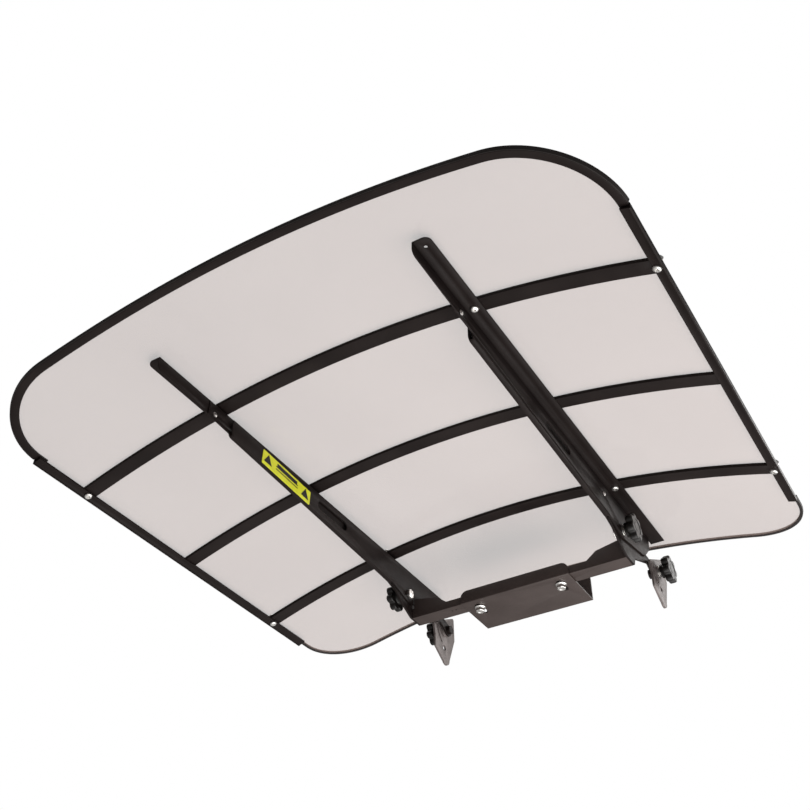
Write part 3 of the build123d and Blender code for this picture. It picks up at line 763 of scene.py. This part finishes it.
def plain_washer(radius, bore):
    """Maker of flat washers of one size."""
    def build(length):
        edge = 0.25 * MM
        rings = [
            (0, radius - edge, "round"),
            (edge, radius, "round"),
            (length - edge, radius, "round"),
            (length, radius - edge, "round"),
        ]
        return tube_solid("plain_washer", rings, bore)
    return build


def hinge_bolt(length):
    """Hexagon bolt with its thread on the last stretch of the shank."""
    flats, head, shank, point = LARGE_FLATS, 6.4 * MM, LARGE_SHANK, 1.0 * MM
    rings = [
        (0, flats * 0.90, "round"),
        (0.9 * MM, flats * 0.99, "hex"),
        (head - 0.3 * MM, flats * 0.99, "hex"),
        (head, flats * 0.97, "hex"),
        (head, shank - 0.02 * MM, "round"),
    ]
    rings += thread(length - 26 * MM, length - point, shank, COARSE_PITCH)
    rings += [(length - point, shank - 0.5 * MM, "round"), (length, shank - 1.3 * MM, "round")]
    return ringed_solid("hinge_bolt", rings)


def flange_bolt(length):
    """Hexagon bolt with a round flange under its head."""
    flats, flange, shank, seat, point = 7.5 * MM, 10.3 * MM, LARGE_SHANK, 9.0 * MM, 1.0 * MM
    rings = [
        (0.5 * MM, 3.6 * MM, "round"),
        (0, 4.3 * MM, "round"),
        (0, flats * 0.90, "round"),
        (0.8 * MM, flats * 0.99, "hex"),
        (6.0 * MM, flats * 0.99, "hex"),
        (6.9 * MM, 8.6 * MM, "round"),
        (8.0 * MM, flange - 0.2 * MM, "round"),
        (8.7 * MM, flange, "round"),
        (seat, flange - 0.15 * MM, "round"),
        (seat, shank - 0.02 * MM, "round"),
    ]
    rings += thread(seat + 5.0 * MM, length - point, shank, COARSE_PITCH)
    rings += [(length - point, shank - 0.5 * MM, "round"), (length, shank - 1.2 * MM, "round")]
    return ringed_solid("flange_bolt", rings)


def large_nut(length):
    """Hexagonal nut for the flange bolts."""
    chamfer = 0.8 * MM
    rings = [
        (0, LARGE_FLATS * 0.94, "round"),
        (chamfer, LARGE_FLATS * 0.99, "hex"),
        (length - chamfer, LARGE_FLATS * 0.99, "hex"),
        (length, LARGE_FLATS * 0.94, "round"),
    ]
    return tube_solid("large_nut", rings, LARGE_SHANK)


def rivet(length):
    """Dome-headed rivet with a flattened tail."""
    tail, tail_radius, shank, head, dome = 1.2 * MM, 4.2 * MM, SMALL_SHANK, 4.5 * MM, 2.2 * MM
    start, dome_steps = length - dome, 7
    rings = [
        (0, 3.6 * MM, "round"),
        (0.4 * MM, tail_radius, "round"),
        (tail, tail_radius, "round"),
        (tail, shank, "round"),
        (start, shank, "round"),
        (start, head - 0.1 * MM, "round"),
    ]
    for k in range(1, dome_steps + 1):
        angle = pi / 2 * k / dome_steps
        rings.append((start + dome * sin(angle), head * cos(angle) * 0.98 + 0.3 * MM, "round"))
    return ringed_solid("rivet", rings)


def arch_normal(point):
    """Away from the arch's centre line."""
    return Vector((point.x, 0, point.z - ARCH_CENTRE_Z))


def upward(point):
    """Straight up, wherever the part is."""
    return Vector((0, 0, 1))


def outward(point):
    """Away from the middle, to the left or the right."""
    return Vector((1 if point.x > 0 else -1, 0, 0))


def along_y(direction):
    """Reference that keeps the flats of every part lined up."""
    return Vector((0, 1, 0))


def build_hardware():
    """Every bolt, nut, washer and rivet."""
    stacks = (("rail", arch_normal, 6.0 * MM), ("rib", upward, 8.0 * MM))
    for stack, facing, washer in stacks:
        place_hardware(f"{stack}_button_bolts", f"{stack}_bolts", facing, along_y, button_bolt)
        washer_maker = plain_washer(washer, SMALL_SHANK)
        place_hardware(f"{stack}_plain_washers", f"{stack}_washers", facing, along_y, washer_maker)
        place_hardware(f"{stack}_hex_nuts", f"{stack}_nuts", facing, along_y, small_nut)
    place_hardware("arm_dome_rivets", "arm_rivets", outward, along_y, rivet)
    place_hardware("pivot_hex_bolts", "pivot_bolts", outward, along_y, hinge_bolt)
    place_hardware("lug_hex_bolts", "lug_bolts", outward, along_y, hinge_bolt, BLACK)
    clamp_washer = plain_washer(11 * MM, LARGE_SHANK)
    place_hardware("clamp_washers", "knob_washers", outward, along_y, clamp_washer)
    place_hardware("bracket_flange_bolts", "bracket_bolts", upward, along_y, flange_bolt)
    place_hardware("bracket_hex_nuts", "bracket_nuts", upward, along_y, large_nut)


build_hardware()


# ---- Star knobs ------------------------------------------------------------------------------------------


def star_knob(length):
    """Seven-lobed knob: hub, undercut, rounded lobes and a shallow dished cap."""
    size, hub, depth = KNOB_RADIUS, 13 * MM, 13 * MM
    under_round, cap_round, round_steps = 2.6 * MM, 3.2 * MM, 4
    start = length - depth
    rings = [(0, 8.0 * MM, "round"), (0, hub - 0.8 * MM, "round"), (0.8 * MM, hub, "round")]
    rings += [(start - 2.4 * MM, hub, "round"), (start - 0.7 * MM, hub + 0.9 * MM, "round")]
    rings += [(start, hub + 2.2 * MM, "round"), (start, size * 0.88, "lobe")]
    for k in range(1, round_steps + 1):
        angle = pi / 2 * k / round_steps
        rings.append((start + under_round * (1 - cos(angle)), size - under_round * (1 - sin(angle)), "lobe"))
    for k in range(round_steps + 1):
        angle = pi / 2 * k / round_steps
        rings.append((length - cap_round * (1 - sin(angle)), size - cap_round * (1 - cos(angle)), "lobe"))
    rings += [
        (length, size * 0.80, "lobe"),
        (length, 15.0 * MM, "round"),
        (length - 0.9 * MM, 14.2 * MM, "round"),
        (length - 1.2 * MM, 9.6 * MM, "round"),
        (length - 0.6 * MM, 8.8 * MM, "round"),
        (length - 0.5 * MM, 4.0 * MM, "round"),
    ]
    return ringed_solid("star_knob", rings, 112)


def insert_bush(length):
    """Round steel bush that shows between knob and washer."""
    rings = [(0, 7.5 * MM, "round"), (0.5 * MM, 8.0 * MM, "round"), (length, 8.0 * MM, "round")]
    return tube_solid("insert_bush", rings, 5.06 * MM)


for hinge in ("pivot", "lug"):
    for knob_side in SIDES:
        knob_node, bush_node = f"{hinge}_knob_{knob_side}", f"{hinge}_insert_{knob_side}"
        place_hardware(f"{hinge}_star_knob_{knob_side}", knob_node, outward, along_y, star_knob, KNOB)
        place_hardware(f"{hinge}_bush_{knob_side}", bush_node, outward, along_y, insert_bush)


# ---- Weld beads where the cross-member meets the cheeks ----------------------------------------------------


def bead_tree():
    """Geometry Nodes: overlapping ripples along a line, as a weld bead."""
    tree = bpy.data.node_groups.new("weld_ripples", "GeometryNodeTree")
    for label, kind in (("Geometry", "NodeSocketGeometry"), ("Bead Radius", "NodeSocketFloat"),
                        ("Ripple Pitch", "NodeSocketFloat"), ("Finish", "NodeSocketMaterial"),
                        ("Seed", "NodeSocketInt")):
        tree.interface.new_socket(label, in_out="INPUT", socket_type=kind)
    tree.interface.new_socket("Geometry", in_out="OUTPUT", socket_type="NodeSocketGeometry")
    nodes, links = tree.nodes, tree.links
    entry, leave = nodes.new("NodeGroupInput"), nodes.new("NodeGroupOutput")
    curve = nodes.new("GeometryNodeMeshToCurve")
    points = nodes.new("GeometryNodeCurveToPoints")
    points.mode = "LENGTH"
    ripple = nodes.new("GeometryNodeMeshIcoSphere")
    ripple.inputs["Subdivisions"].default_value = 2
    spot = nodes.new("GeometryNodeInstanceOnPoints")
    random = nodes.new("FunctionNodeRandomValue")
    smallest, largest = random.inputs[2], random.inputs[3]
    smallest.default_value, largest.default_value = 0.85, 1.12
    real = nodes.new("GeometryNodeRealizeInstances")
    shade = nodes.new("GeometryNodeSetShadeSmooth")
    finish = nodes.new("GeometryNodeSetMaterial")
    links.new(entry.outputs["Geometry"], curve.inputs["Mesh"])
    links.new(curve.outputs["Curve"], points.inputs["Curve"])
    links.new(entry.outputs["Ripple Pitch"], points.inputs["Length"])
    links.new(entry.outputs["Bead Radius"], ripple.inputs["Radius"])
    links.new(points.outputs["Points"], spot.inputs["Points"])
    links.new(ripple.outputs["Mesh"], spot.inputs["Instance"])
    links.new(entry.outputs["Seed"], random.inputs["Seed"])
    links.new(random.outputs[1], spot.inputs["Scale"])
    links.new(spot.outputs["Instances"], real.inputs["Geometry"])
    links.new(real.outputs["Geometry"], shade.inputs["Geometry"])
    links.new(shade.outputs["Geometry"], finish.inputs["Geometry"])
    links.new(entry.outputs["Finish"], finish.inputs["Material"])
    links.new(finish.outputs["Geometry"], leave.inputs["Geometry"])
    return tree


def build_welds():
    """Beads in the corners between the cheeks and the cross-member."""
    tree = bead_tree()
    low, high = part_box("cross_member")
    wall = 3.0 * MM
    upright_y = low.y + wall + 0.8 * MM
    level_z = low.z + wall + 0.7 * MM
    for weld_side, sign in SIDES.items():
        x = sign * (high.x - 0.9 * MM)
        lines = [
            ((x, upright_y, low.z + wall + 1.0 * MM), (x, upright_y, low.z + 14 * MM)),
            ((x, low.y + wall + 2.5 * MM, level_z), (x, high.y - 1.5 * MM, level_z)),
        ]
        mesh = bpy.data.meshes.new("weld_lines")
        mesh.from_pydata([p for line in lines for p in line], [(0, 1), (2, 3)], [])
        values = {"Bead Radius": 1.6 * MM, "Ripple Pitch": 1.3 * MM, "Finish": BLACK, "Seed": 7}
        result = run_tree(f"weld_{weld_side}", mesh, tree, values)
        bead = linked(f"weld_bead_{weld_side}", result)
        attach(bead, "hinge_frame")


build_welds()


# ---- Studio: pale floor, soft lights, camera ----------------------------------------------------------------


def build_world():
    """White to the camera, dim and slightly warm to everything else."""
    world = bpy.data.worlds.new("studio")
    bpy.context.scene.world = world
    world.use_nodes = True
    nodes, links = world.node_tree.nodes, world.node_tree.links
    nodes.clear()
    seen, lit = nodes.new("ShaderNodeBackground"), nodes.new("ShaderNodeBackground")
    seen.inputs["Strength"].default_value = 1.0
    seen.inputs["Color"].default_value = (1, 1, 1, 1)
    lit.inputs["Strength"].default_value = 0.20
    lit.inputs["Color"].default_value = (1, 0.985, 0.975, 1)
    path, mix = nodes.new("ShaderNodeLightPath"), nodes.new("ShaderNodeMixShader")
    out = nodes.new("ShaderNodeOutputWorld")
    links.new(path.outputs["Is Camera Ray"], mix.inputs["Fac"])
    links.new(lit.outputs["Background"], mix.inputs[1])
    links.new(seen.outputs["Background"], mix.inputs[2])
    links.new(mix.outputs["Shader"], out.inputs["Surface"])


def build_floor(height):
    """Large pale floor well below the piece."""
    floor_mesh = bpy.data.meshes.new("floor")
    reach = 14.0
    corners = [(x * reach, y * reach, height) for x, y in ((-1, -1), (1, -1), (1, 1), (-1, 1))]
    floor_mesh.from_pydata(corners, [], [(0, 1, 2, 3)])
    floor = linked("floor", floor_mesh)
    paper, shader = new_material("floor_paper", (0.86, 0.86, 0.85), 0.8, specular=0.2)
    paper.node_tree.links.new(
        ramp(paper, object_noise(paper, 2.0, 2.0), [(0.3, (0.85, 0.85, 0.84)), (0.7, (0.87, 0.87, 0.86))]),
        shader.inputs["Base Color"],
    )
    floor_mesh.materials.append(paper)


def area_light(name, target, offset, size, power):
    """Soft square light that stands off from its target and faces it."""
    light = bpy.data.lights.new(name, "AREA")
    light.shape = "SQUARE"
    light.size = size
    light.energy = power
    light.color = (1.0, 0.985, 0.97)
    lamp = linked(name, light)
    lamp.location = target + Vector(offset)
    lamp.rotation_euler = (-Vector(offset)).to_track_quat("-Z", "Y").to_euler()
    lamp.visible_camera = False


def build_camera():
    """Camera low in front and to one side, looking up at the underside."""
    data = bpy.data.cameras.new("camera")
    data.lens = 47.04
    data.sensor_width = 36.0
    data.clip_start, data.clip_end = 0.05, 100
    camera = linked("camera", data)
    right = Vector((0.85355, 0.52092, 0.00930))
    up = Vector((0.32758, -0.55045, 0.76791))
    back = Vector((0.40514, -0.65241, -0.64048))
    turn = Matrix((right, up, back)).transposed().to_4x4()
    camera.matrix_world = Matrix.Translation((0.7151, -1.5979, -0.9709)) @ turn
    bpy.context.scene.camera = camera
    bpy.context.scene.view_settings.view_transform = "Standard"


MIDDLE = (Vector(cad_box[0]) + Vector(cad_box[1])) / 2
FLOOR_DROP = 1.6

build_world()
build_floor(cad_box[0][2] - FLOOR_DROP)
area_light("under_light", MIDDLE, (0.5, 0.2, -1.45), 2.4, 50)
area_light("top_light", MIDDLE, (-0.6, 0.8, 2.6), 2.5, 90)
area_light("rear_light", MIDDLE, (1.6, 2.2, 0.8), 1.6, 30)
build_camera()
